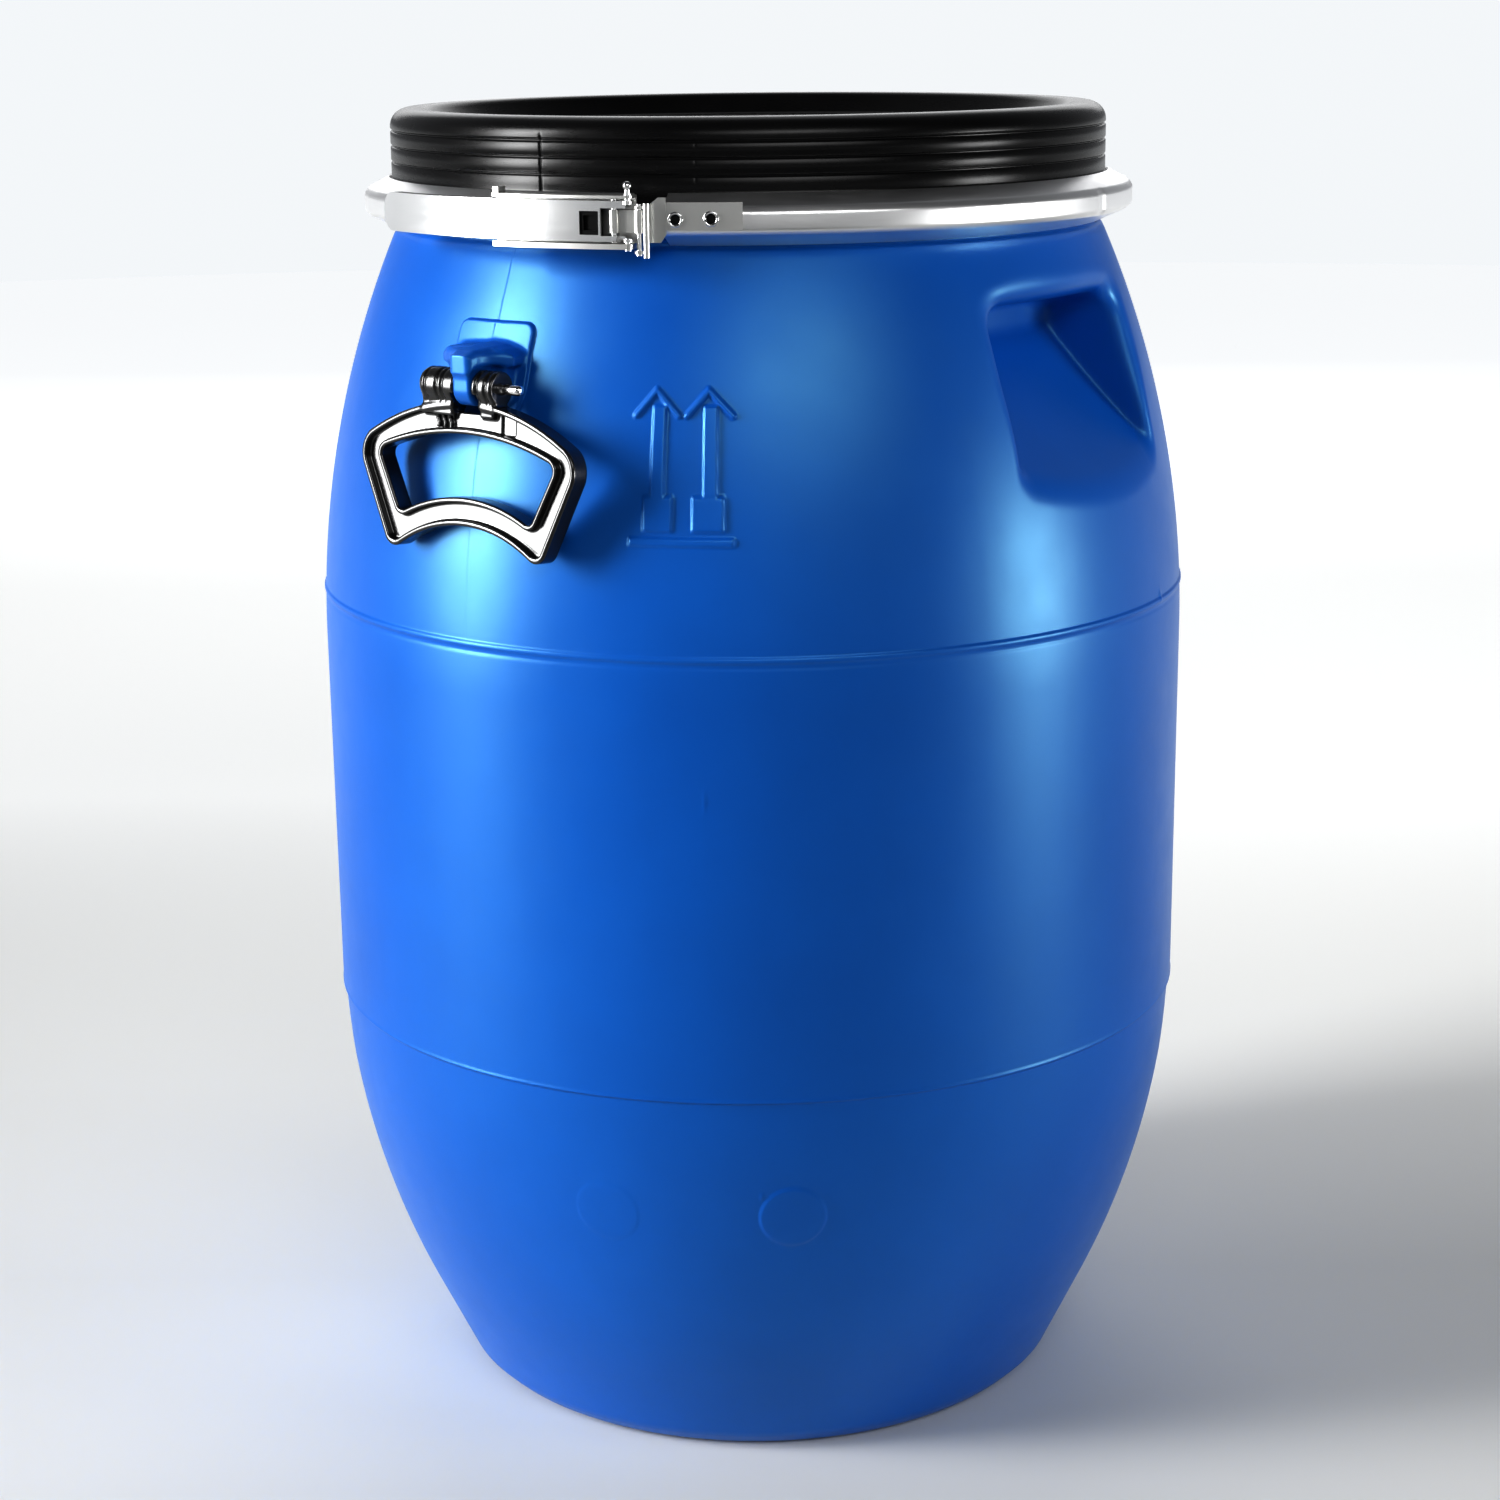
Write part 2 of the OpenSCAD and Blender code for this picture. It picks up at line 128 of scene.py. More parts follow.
def smin(a, b, k):
    h = np.maximum(k - np.abs(a - b), 0) / k
    return np.minimum(a, b) - h * h * k * 0.25


def smax(a, b, k):
    return -smin(-a, -b, k)


def step01(x, a, b):
    t = np.clip((x - a) / (b - a), 0, 1)
    return t * t * (3 - 2 * t)


def round2(a, b, c):
    """Intersection of two signed distances with a round corner of radius c."""
    p, q = a + c, b + c
    return np.minimum(np.maximum(p, q), 0) + np.hypot(np.maximum(p, 0), np.maximum(q, 0)) - c


def surface_nets(f, lo, hi, step, project=4):
    """Smooth mesh of the surface f = 0 inside a box. f takes points (..., 3) and is negative inside."""
    lo, hi = np.asarray(lo, float), np.asarray(hi, float)
    n = np.ceil((hi - lo) / step).astype(int) + 1
    ax = [lo[i] + step * np.arange(n[i]) for i in range(3)]
    P = np.stack(np.meshgrid(*ax, indexing="ij"), -1)
    D = f(P)
    S = D < 0
    cn = n - 1
    acc = np.zeros(tuple(cn) + (3,))
    cnt = np.zeros(tuple(cn))
    for a in range(3):
        o = [i for i in range(3) if i != a]
        for u in (0, 1):
            for w in (0, 1):
                off = [0, 0, 0]
                off[o[0]], off[o[1]] = u, w
                s0 = tuple(slice(off[i], off[i] + cn[i]) for i in range(3))
                off1 = list(off)
                off1[a] = 1
                s1 = tuple(slice(off1[i], off1[i] + cn[i]) for i in range(3))
                d0, d1 = D[s0], D[s1]
                x = (d0 < 0) != (d1 < 0)
                t = np.where(x, d0 / np.where(x, d0 - d1, 1), 0)
                p = np.zeros(tuple(cn) + (3,))
                p[..., a] = t
                p[..., o[0]], p[..., o[1]] = u, w
                acc += p * x[..., None]
                cnt += x
    act = cnt > 0
    idx = -np.ones(tuple(cn), int)
    idx[act] = np.arange(act.sum())
    cell = np.stack(np.nonzero(act), -1)
    V = lo + step * (cell + acc[act] / cnt[act][:, None])
    quads = []
    for a in range(3):
        b, c = (a + 1) % 3, (a + 2) % 3
        sl0 = [slice(None)] * 3
        sl1 = [slice(None)] * 3
        sl0[a], sl1[a] = slice(0, n[a] - 1), slice(1, n[a])
        for q in (b, c):
            sl0[q] = sl1[q] = slice(1, n[q] - 1)
        A, B = S[tuple(sl0)], S[tuple(sl1)]
        e = np.stack(np.nonzero(A != B), -1)
        if not len(e):
            continue
        flip = B[tuple(e.T)]
        base = e.copy()
        base[:, b] += 1
        base[:, c] += 1
        def cell_at(db, dc):
            q = base.copy()
            q[:, b] -= db
            q[:, c] -= dc
            return idx[tuple(q.T)]
        q4 = np.stack([cell_at(1, 1), cell_at(0, 1), cell_at(0, 0), cell_at(1, 0)], -1)
        q4[flip] = q4[flip][:, ::-1]
        quads.append(q4)
    F = np.concatenate(quads)
    F = F[(F >= 0).all(1)]
    h = step * 0.25
    for _ in range(project):
        d = f(V)
        g = np.stack([f(V + np.eye(3)[i] * h) - f(V - np.eye(3)[i] * h) for i in range(3)], -1) / (2 * h)
        gg = (g * g).sum(-1)
        mv = (d / np.maximum(gg, 0.25))[:, None] * g
        ln = np.linalg.norm(mv, axis=1, keepdims=True)
        V = V - mv * np.minimum(1, 0.5 * step / np.maximum(ln, 1e-9))
    return V, F


def turn_z(v, az):
    """Turns points by az degrees about Z. A piece built facing -Y then faces azimuth az."""
    c, s = math.cos(rad(az)), math.sin(rad(az))
    v = np.asarray(v, float)
    return np.stack([v[..., 0] * c - v[..., 1] * s, v[..., 0] * s + v[..., 1] * c, v[..., 2]], -1)


# ------------------------------------------------------------------ materials
class Nodes:
    def __init__(self, name):
        self.mat = bpy.data.materials.new(name + "_look")
        self.mat.use_nodes = True
        self.t = self.mat.node_tree
        self.bsdf = self.t.nodes["Principled BSDF"]
        self.coord = self.t.nodes.new("ShaderNodeTexCoord")

    def new(self, kind, **values):
        n = self.t.nodes.new(kind)
        for k, v in values.items():
            if hasattr(n, k):
                setattr(n, k, v)
            else:
                n.inputs[k.replace("_", " ")].default_value = v
        return n

    def link(self, a, b):
        self.t.links.new(a, b)

    def noise(self, scale, detail=2.0, rough=0.5, stretch=None):
        n = self.new("ShaderNodeTexNoise")
        n.inputs["Scale"].default_value = scale
        n.inputs["Detail"].default_value = detail
        n.inputs["Roughness"].default_value = rough
        if stretch:
            m = self.new("ShaderNodeMapping")
            m.inputs["Scale"].default_value = stretch
            self.link(self.coord.outputs["Object"], m.inputs["Vector"])
            self.link(m.outputs["Vector"], n.inputs["Vector"])
        else:
            self.link(self.coord.outputs["Object"], n.inputs["Vector"])
        return n.outputs["Fac"]

    def ramp(self, fac, stops):
        r = self.new("ShaderNodeValToRGB")
        e = r.color_ramp.elements
        e[0].position, e[0].color = stops[0][0], stops[0][1]
        e[1].position, e[1].color = stops[-1][0], stops[-1][1]
        for p, c in stops[1:-1]:
            x = e.new(p)
            x.color = c
        self.link(fac, r.inputs["Fac"])
        return r.outputs["Color"]

    def span(self, fac, a, b, lo=0.0, hi=1.0):
        m = self.new("ShaderNodeMapRange")
        m.inputs["From Min"].default_value = lo
        m.inputs["From Max"].default_value = hi
        m.inputs["To Min"].default_value = a
        m.inputs["To Max"].default_value = b
        self.link(fac, m.inputs["Value"])
        return m.outputs["Result"]

    def math(self, op, a, b=None, c=None):
        m = self.new("ShaderNodeMath", operation=op)
        for i, x in enumerate((a, b, c)):
            if x is None:
                continue
            if isinstance(x, (int, float)):
                m.inputs[i].default_value = x
            else:
                self.link(x, m.inputs[i])
        return m.outputs[0]

    def xyz(self):
        s = self.new("ShaderNodeSeparateXYZ")
        self.link(self.coord.outputs["Object"], s.inputs["Vector"])
        return s.outputs["X"], s.outputs["Y"], s.outputs["Z"]

    def bumps(self, *heights):
        """Chain of (height output, strength, distance in metres)."""
        prev = None
        for h, strength, dist in heights:
            b = self.new("ShaderNodeBump")
            b.inputs["Strength"].default_value = strength
            b.inputs["Distance"].default_value = dist
            self.link(h, b.inputs["Height"])
            if prev is not None:
                self.link(prev, b.inputs["Normal"])
            prev = b.outputs["Normal"]
        self.link(prev, self.bsdf.inputs["Normal"])

    def set(self, **values):
        for k, v in values.items():
            k = k.replace("_", " ")
            if isinstance(v, bpy.types.NodeSocket):
                self.link(v, self.bsdf.inputs[k])
            else:
                self.bsdf.inputs[k].default_value = v


def ring_coords(n):
    """Angle in degrees about Z and height in metres, from the object's own coordinates."""
    x, y, z = n.xyz()
    ang = n.math("MULTIPLY", n.math("ARCTAN2", x, n.math("MULTIPLY", y, -1.0)), 180 / math.pi)
    return ang, z


def mat_blue():
    n = Nodes("blue_hdpe")
    big = n.noise(9.0, 3.0, 0.55)
    mid = n.noise(60.0, 3.0, 0.6)
    fine = n.noise(900.0, 2.0, 0.5)
    drag = n.noise(26.0, 3.0, 0.6, (1.0, 1.0, 0.18))
    col = n.ramp(big, [(0.3, (0.0004, 0.090, 0.40, 1)), (0.55, (0.0005, 0.099, 0.43, 1)), (0.75, (0.0006, 0.108, 0.46, 1))])
    mix = n.new("ShaderNodeMix", data_type="RGBA", blend_type="MULTIPLY")
    mix.inputs["Factor"].default_value = 0.10
    n.link(col, mix.inputs["A"])
    n.link(n.ramp(drag, [(0.35, (0.8, 0.8, 0.8, 1)), (0.65, (1, 1, 1, 1))]), mix.inputs["B"])
    rough = n.span(mid, 0.32, 0.41)
    n.set(Base_Color=mix.outputs["Result"], Roughness=rough, Specular_IOR_Level=0.86, Specular_Tint=(0.36, 0.86, 0.97, 1.0))
    # parting line of the mould, a hair-thin ridge on the lug planes
    ang, z = ring_coords(n)
    line = None
    for a in (-89.9, 90.1):
        d = n.math("ABSOLUTE", n.math("SUBTRACT", ang, a))
        h = n.math("SUBTRACT", 1.0, n.span(d, 0.0, 1.0, 0.0, 0.16))
        h = n.math("MAXIMUM", h, 0.0)
        line = h if line is None else n.math("MAXIMUM", line, h)
    line = n.math("MULTIPLY", line, n.span(z, 0.15, 1.0, 0.38, 0.50))
    n.bumps((mid, 0.10, 0.0006), (fine, 0.05, 0.0002), (line, 0.35, 0.00022))
    return n.mat


def mat_lid():
    n = Nodes("black_lid")
    big = n.noise(14.0, 3.0, 0.6)
    mid = n.noise(140.0, 3.0, 0.6)
    fine = n.noise(1100.0, 2.0, 0.5)
    streak = n.noise(30.0, 4.0, 0.65, (1.0, 1.0, 6.0))
    col = n.ramp(big, [(0.3, (0.0028, 0.0028, 0.003, 1)), (0.7, (0.006, 0.006, 0.0063, 1))])
    n.set(Base_Color=col, Roughness=n.span(streak, 0.22, 0.32), Specular_IOR_Level=0.22)
    n.bumps((mid, 0.04, 0.0004), (fine, 0.02, 0.00015))
    return n.mat


def mat_metal(name, tint, r0, r1, spangle=0.35, along=True):
    n = Nodes(name)
    vor = n.new("ShaderNodeTexVoronoi")
    vor.inputs["Scale"].default_value = 70.0
    n.link(n.coord.outputs["Object"], vor.inputs["Vector"])
    sp = n.new("ShaderNodeSeparateColor")
    n.link(vor.outputs["Color"], sp.inputs["Color"])
    cells = sp.outputs["Red"]
    roll = n.noise(55.0, 4.0, 0.6, (1.0, 1.0, 16.0) if along else None)
    fine = n.noise(700.0, 2.0, 0.5)
    patch = n.noise(12.0, 3.0, 0.6)
    dark = tuple(c * 0.86 for c in tint) + (1,)
    col = n.ramp(patch, [(0.3, dark), (0.7, tuple(tint) + (1,))])
    rough = n.math("ADD", n.span(roll, r0, r1), n.math("MULTIPLY", cells, 0.05 * spangle))
    n.set(Base_Color=col, Metallic=1.0, Roughness=rough)
    n.bumps((roll, 0.018, 0.0003), (cells, 0.01 * spangle, 0.0002), (fine, 0.012, 0.0001))
    return n.mat


def mat_black(name, base, r0, r1, spec=0.5, bump=0.06):
    n = Nodes(name)
    mid = n.noise(220.0, 3.0, 0.6)
    fine = n.noise(1500.0, 2.0, 0.5)
    big = n.noise(30.0, 2.0, 0.5)
    col = n.ramp(big, [(0.3, (base * 0.75, base * 0.75, base * 0.78, 1)), (0.7, (base * 1.2, base * 1.2, base * 1.22, 1))])
    n.set(Base_Color=col, Roughness=n.span(mid, r0, r1), Specular_IOR_Level=spec)
    n.bumps((mid, bump, 0.0003), (fine, bump * 0.5, 0.0001))
    return n.mat


BLUE = mat_blue()
LID = mat_lid()
BAND = mat_metal("galvanised_band", (0.90, 0.90, 0.90), 0.30, 0.42)
LEVER = mat_metal("galvanised_lever", (0.86, 0.86, 0.86), 0.16, 0.28, 0.2)
CLOSURE = mat_metal("galvanised_closure", (0.74, 0.74, 0.72), 0.28, 0.42, 0.5, False)
PIN = mat_metal("bright_pins", (0.86, 0.86, 0.86), 0.12, 0.22, 0.1, False)
HANDLE = mat_black("black_handle", 0.008, 0.18, 0.28, 0.80)
# near-black, barely reflecting colour for lever_plug in the lever's square window: painted shade of the opening
WINDOW_SHADE = mat_black("black_plug", 0.002, 0.4, 0.55, 0.15)
GASKET = mat_black("gasket_rubber", 0.02, 0.6, 0.75, 0.3, 0.2)


# ------------------------------------------------------------------ drum body
R0 = 200.0


def body_radius(z):
    """Plain outer radius of the body at height z, without seams."""
    z = np.asarray(z, float)
    up = R0 - 448.3 + np.sqrt(448.3 ** 2 - np.clip(z - 360, 0, 200) ** 2)
    low = R0 - 386 + np.sqrt(386 ** 2 - np.clip(210 - z, 0, 165) ** 2)
    low = low - np.clip(45 - z, 0, 45) * 0.4728
    low = np.where(z < 190, np.minimum(low, R0 - 0.6), R0)
    return np.where(z > 360, up, low)


def with_seams(z):
    """Outer radius with the raised bead of the upper seam and the step of the lower one."""
    z = np.asarray(z, float)
    r = body_radius(z)
    low = R0 - 386 + np.sqrt(386 ** 2 - np.clip(210 - z, 0, 165) ** 2)
    low = low - np.clip(45 - z, 0, 45) * 0.4728
    blend = step01(z, 189.9, 191.2)
    r = np.where(z < 300, (low - 0.55 * step01(z, 150, 188)) * (1 - blend) + R0 * blend, r)
    r = r + 0.25 * np.exp(-((z - 191.4) / 0.8) ** 2)
    r = r + 0.70 * np.exp(-(np.abs(z - 382.4) / 1.25) ** 4)
    r = r - 0.22 * np.exp(-((z - 379.4) / 0.9) ** 2)
    return r


def seg_dist(x, y, x0, y0, x1, y1):
    dx, dy = x1 - x0, y1 - y0
    t = np.clip(((x - x0) * dx + (y - y0) * dy) / (dx * dx + dy * dy), 0, 1)
    return np.hypot(x - x0 - t * dx, y - y0 - t * dy)


def relief(az, z):
    """Raised moulded marks, in mm, where az is measured from the camera's side."""
    u = np.radians(az + 8.5) * 195.0        # mm along the wall from between the arrows
    d = np.zeros(np.broadcast(az, z).shape)

    def deg(a):
        return math.radians(a + 8.5) * 195.0

    def raised(dist, half, h):
        return h * (1 - step01(dist, half - 0.35, half + 0.6))
    for ax, bx0, bx1, s0, s1, k0, k1 in ((-12.0, -14.6, -9.1, -12.35, -10.75, -13.2, -9.7), (-5.3, -8.1, -2.2, -5.85, -4.2, -7.2, -3.4)):
        a, b0, b1 = deg(ax), deg(bx0), deg(bx1)
        for bb in (b0, b1):
            d = np.maximum(d, raised(seg_dist(u, z, a, 490.2, bb, 480.2), 1.0, 1.25))
        x0, x1 = deg(s0), deg(s1)
        box = np.maximum(np.abs(u - (x0 + x1) / 2) - (x1 - x0) / 2, np.abs(z - 466) - 18)
        d = np.maximum(d, raised(np.maximum(box, -9), 0.0, 1.25))
        x0, x1 = deg(k0), deg(k1)
        box = np.maximum(np.abs(u - (x0 + x1) / 2) - (x1 - x0) / 2, np.abs(z - 441.5) - 6.8)
        d = np.maximum(d, raised(np.maximum(box, -9), 0.0, 1.25))
    bar = np.maximum(np.abs(u - (deg(-14.9) + deg(-2.2)) / 2) - (deg(-2.2) - deg(-14.9)) / 2, np.abs(z - 430.3) - 1.6)
    d = np.maximum(d, raised(np.maximum(bar, -9), 0.0, 1.0))
    # faint round marks low on the wall
    for a, zc, h in ((-20.0, 135.0, 0.18), (4.3, 136.0, 0.7)):
        uu = np.radians(az - a) * 192.0
        rr = np.hypot(uu, z - zc)
        d = np.maximum(d, h * (1 - step01(rr, 13.6, 14.9)))
    # specks of flash
    for a, zc, s in ((-6.0, 323, 0.7), (0.35, 146.5, 0.8), (1.4, 131.5, 0.8), (65.0, 384.5, 1.4)):
        uu = np.radians(az - a) * 195.0
        d = np.maximum(d, 0.5 * np.exp(-(uu ** 2 + (z - zc) ** 2 / 2.5) / s ** 2))
    return d


def pocket(s, z):
    """Distance of the outer surface from the plane through the drum's axis, in a grip's own direction."""
    s, z = np.broadcast_arrays(np.asarray(s, float), np.asarray(z, float))
    R = with_seams(z)
    slope = (body_radius(z + 1) - body_radius(z - 1)) / 2
    cosb = 1 / np.sqrt(1 + slope ** 2)
    surf = np.sqrt(np.maximum(R ** 2 - s ** 2, 1))

    def f(rho):
        body = (np.hypot(s, rho) - R) * cosb
        side = (np.abs(s) - 46.0 - 0.13 * (rho - 131.0)) * 0.9916
        ceil = ((z - 516.8) + 0.10 * (160 - rho)) * 0.995
        back = 131.0 - rho
        # floor: three slopes that run into each other
        f1 = (500.5 - 1.162 * (rho - 131.0) - z) * 0.652
        f2 = (487.6 - 1.007 * (rho - 142.1) - z) * 0.705
        f3 = (460.4 - 0.900 * (rho - 169.1) - z) * 0.743
        flo = smax(smax(f1, f2, 1.5), f3, 1.5)
        void = smax(back, side, 6.0)
        void = smax(void, flo, 2.6 + 7.0 * (1 - step01(z, 438, 462)))
        void = smax(void, ceil, 5.0 + 9.0 * step01(np.abs(s), 26, 44))
        k = 5.6 + 4.2 * step01(z, 458, 496) + 4.5 * step01(z, 503, 522) * (1 - step01(np.abs(s), 24, 56))
        return smax(body, -void, k)
    lo = np.full(s.shape, 120.0)
    hi = surf + 1.0
    best = surf.copy()
    # the outermost crossing, found by stepping inwards
    prev = f(hi)
    r_prev = hi.copy()
    done = np.zeros(s.shape, bool)
    steps = 150
    for i in range(1, steps + 1):
        r = hi + (lo - hi) * i / steps
        v = f(r)
        hit = (~done) & (v < 0)
        t = prev / np.where(np.abs(prev - v) < 1e-9, 1e-9, prev - v)
        best = np.where(hit, r_prev + (r - r_prev) * np.clip(t, 0, 1), best)
        done |= hit
        prev, r_prev = v, r
    best = np.where(done, best, lo)
    return best


def build_body():
    def span(a, b, step):
        n = max(1, int(round((b - a) / step)))
        return list(np.linspace(a, b, n, endpoint=False))
    # rows of the side wall
    zs = (span(8, 60, 2.6) + span(60, 117, 3.0) + span(117, 153, 0.95) + span(153, 187, 2.6) + span(187, 194.5, 0.42)
          + span(194.5, 376, 3.3) + span(376, 388, 0.42) + span(388, 427, 2.2) + span(427, 432, 0.7) + span(432, 434, 0.5)
          + span(434, 449, 0.8) + span(449, 478, 1.1) + span(478, 493, 0.7) + span(493, 507, 1.1) + span(507, 520, 0.55)
          + span(520, 536, 1.0) + span(536, 542.4, 1.2))
    zs = np.array(zs)
    # columns of a grip, by distance from its middle
    half = list(np.linspace(0, 38, 8)) + list(np.linspace(39.4, 61.0, 37)) + list(np.linspace(62.6, 80, 8))
    sp = np.array([-x for x in half[:0:-1]] + half)
    edge = 80.0
    e0 = math.degrees(math.asin(edge / 200))        # edge of the grip at the widest part

    def cols(a, b):
        out = []
        x = a
        while x < b - 1e-6:
            out.append(x)
            fine = (-79 < x < -42)
            lug = any(abs(x - q) < 7.5 for q in (-90, 90, 270))
            x += 0.2 if fine else 0.5 if lug else 1.25
        return out
    e1 = e0 + 0.8
    right = np.array(cols(e1, 180 - e1 + 0.01))
    left = np.array(cols(180 + e1, 360 - e1 + 0.01))
    left = np.array(cols(-180 + e1, -e1 + 0.01)) + 360
    # share of the way between the grips' edges, the same on every row
    tr = (right - e1) / (180 - 2 * e1)
    tl = (left - 180 - e1) / (180 - 2 * e1)
    rows = []

    def ring(r_fun, z, base=False):
        R = max(150.0, float(body_radius(z))) if not base else 150.0
        ed = math.degrees(math.asin(edge / R)) + 0.8 * 200 / R
        a0 = np.degrees(np.arcsin(sp / R))
        az = np.concatenate([a0, ed + tr * (180 - 2 * ed), 180 + a0, 180 + ed + tl * (180 - 2 * ed)])
        return az
    zone0 = len(sp)
    # underside and foot ring
    under = [(0.3, 6.2), (30, 6.2), (60, 6.2), (85, 6.15), (104, 6.05), (109, 5.85), (112, 5.3), (114.2, 4.2), (116, 2.9), (117.8, 1.5), (119.6, 0.55),
             (121.5, 0.1), (124, 0.0), (128, 0.0), (131.5, 0.0), (134, 0.22), (136.4, 0.85), (138.6, 1.85), (140.5, 3.1), (142.1, 4.6), (143.5, 6.2)]
    for r, z in under:
        az = ring(None, 20, True)
        rows.append(polar(az, np.full(az.shape, r), z))
    for z in zs:
        az = ring(None, z)
        seen = (az - ZONE + 180) % 360 - 180
        r = with_seams(z) + relief(seen, np.full(az.shape, z)) * (1 if z > 100 else 0)
        p = polar(az, r, z)
        if 425 < z < 545:
            dep = pocket(sp, np.full(sp.shape, z))
            w = 1 - step01(np.abs(sp), 72, 79)
            flat = np.sqrt(float(with_seams(z)) ** 2 - sp ** 2)
            dep = dep * w + flat * (1 - w)
            p[:zone0, 0], p[:zone0, 1] = sp, -dep
            k = zone0 + len(tr)
            p[k:k + zone0, 0], p[k:k + zone0, 1] = -sp, dep
        rows.append(p)
    # neck, flange, mouth and inside
    az = ring(None, 520)
    top = [(160.6, 543.4), (159.9, 544.1), (159.2, 544.9), (158.9, 545.8), (159.0, 546.7), (159.8, 547.4), (161.5, 548.2), (165.5, 550.0), (168.6, 551.4), (169.7, 552.0), (170.2, 552.8),
           (170.3, 553.8), (170.2, 554.7), (169.7, 555.3), (168.8, 555.6), (162, 555.6), (155, 555.6), (152, 555.6), (151.1, 555.4), (150.6, 554.9), (150.5, 554),
           (150.5, 551), (150.9, 549.6), (153, 548.2), (155.4, 546.4), (156.4, 545)]
    inner = [(float(body_radius(z)) - 3, z) for z in list(np.linspace(542, 362, 30)) + [300, 240, 205] + list(np.linspace(190, 14, 26))]
    inner += [(141.5, 9.5), (139.0, 7.2), (136, 5.3), (132, 4.25), (124, 4.3), (120, 4.8), (117, 6.6), (113.5, 8.6), (110, 9.0), (80, 9.05), (40, 9.1), (0.3, 9.1)]
    n_out = len(rows)
    for r, z in top:
        rows.append(polar(az, np.full(az.shape, r), z))
    for r, z in inner:
        a = ring(None, max(20, z)) if z > 20 else ring(None, 20, True)
        p = polar(a, np.full(a.shape, r), z)
        if 430 < z < 530:   # the inner side of the grip pockets
            dep = pocket(sp * 0.94, np.full(sp.shape, min(z - 2.2, 512))) - 3.0
            flat = np.sqrt(r ** 2 - np.minimum(np.abs(sp), r - 1) ** 2)
            dep = np.minimum(dep, flat)
            k = zone0 + len(tr)
            p[:zone0, 0], p[:zone0, 1] = sp, -dep
            p[k:k + zone0, 0], p[k:k + zone0, 1] = -sp, dep
        rows.append(p)
    V = np.array(rows)
    n, m = V.shape[:2]
    F = grid_faces(n, m, True)
    # the grid runs from the base upwards, with azimuth growing to the right
    return add_mesh("drum_shell", V.reshape(-1, 3), F, "drum", BLUE, replaces=["drum_body"], weld=True)


shell = build_body()


# ------------------------------------------------------------------ lugs
HP_RHO, HP_Z = 195.5, 490.0


TONGUE = 5.7                # middle of the tongue, beside the lug's own middle
FRAME = 6.2                 # middle of the handle's frame


def lug_field(p):
    """Moulded lug in its own frame: x along the wall, -y outwards, z up."""
    x, rho, z = p[..., 0], -p[..., 1], p[..., 2]
    R = body_radius(np.clip(z, 300, 543))
    slope = (body_radius(np.clip(z, 300, 542) + 1) - body_radius(np.clip(z, 300, 542) - 1)) / 2
    body = (np.hypot(x, rho) - R) / np.sqrt(1 + slope ** 2) + 0.22
    # pad: a low plate with a rounded outline
    w = 20.3 + 0.5 * step01(-z, -503, -494) - 4.0 * step01(-z, -490, -470)
    outline = round2(np.abs(x - 0.3) - w, np.maximum(z - 514.6, 470 - z), 4.5)
    pad = smax(outline * 0.9, body - 1.9, 0.7)
    # hood over the barrels: full width at the wall, drawn in to the nose
    t = np.clip((rho - 185.5) / 17.5, 0, 1)
    mid = TONGUE * np.clip(t * 1.25, 0, 1)
    wide = 4.7 + 14.8 * (1 - t) ** 1.7
    u = np.abs(x - mid)
    ztop = 505.6 - 1.6 * t - 2.6 * (u / 19.0) ** 2 - 1.4 * step01(rho, 199, 204.5)
    hood = round2((u - wide) * 0.75, np.maximum(rho - 203.0, np.maximum(z - ztop, ztop - 5.6 - z)), 1.9)
    # tongue that drops between the barrels
    q = rho - 196.0
    front = np.where(z < 489, np.hypot(np.maximum(q, 0), (z - 489.3)) - 7.0, q - 7.0)
    tongue = round2(np.abs(x - TONGUE) - 4.6, np.maximum(np.maximum(front, z - ztop), np.maximum(482.4 - z, 176 - rho)), 1.2)
    # root of the hood, back at the wall
    back = round2(np.abs(x) - 16.0, np.maximum(rho - 187.2, np.maximum(z - 504.0, 481 - z)), 2.5)
    d = smin(hood, tongue, 4.2)
    d = smin(d, back, 3.5)
    d = smin(d, pad, 1.8)
    return smin(d, body, 1.1)


def clip_lug(v, f):
    """Keeps the faces of the lug that stand above the wall."""
    R = body_radius(np.clip(v[:, 2], 300, 543))
    keep = (np.hypot(v[:, 0], v[:, 1]) - R) > -0.19
    f = f[keep[f].any(1)]
    used = np.zeros(len(v), bool)
    used[f.ravel()] = True
    new = np.cumsum(used) - 1
    return v[used], new[f]


lv, lf = surface_nets(lug_field, (-27, -206, 464), (27, -168, 521), 0.55)
lv, lf = clip_lug(lv, lf)
for name, az in (("left_lug", -90), ("right_lug", 90)):
    add_mesh(name, turn_z(lv, az), lf, "drum", BLUE)


# ------------------------------------------------------------------ swing handles
LEAN = 5.0


def frame_edge(x, y):
    """Signed distance of the frame's outline in its own plane, about the frame's middle."""
    top = np.hypot(x, y + 109.0) - 103.0
    bot = 66.2 - np.hypot(x, y + 123.5)
    side = (np.abs(x) - 51.5 - 0.455 * (y + 50)) * 0.9102
    return np.maximum(round2(top, side, 10.0), round2(bot, side, 7.0))


def window_edge(x, y):
    top = np.hypot(x, y + 150.0) - 130.5
    bot = 78.0 - np.hypot(x, y + 123.5)
    side = (np.abs(x) - 42.1 - 0.495 * (y + 42)) * 0.8962
    return np.maximum(round2(top, side, 4.2), round2(bot, side, 2.8))


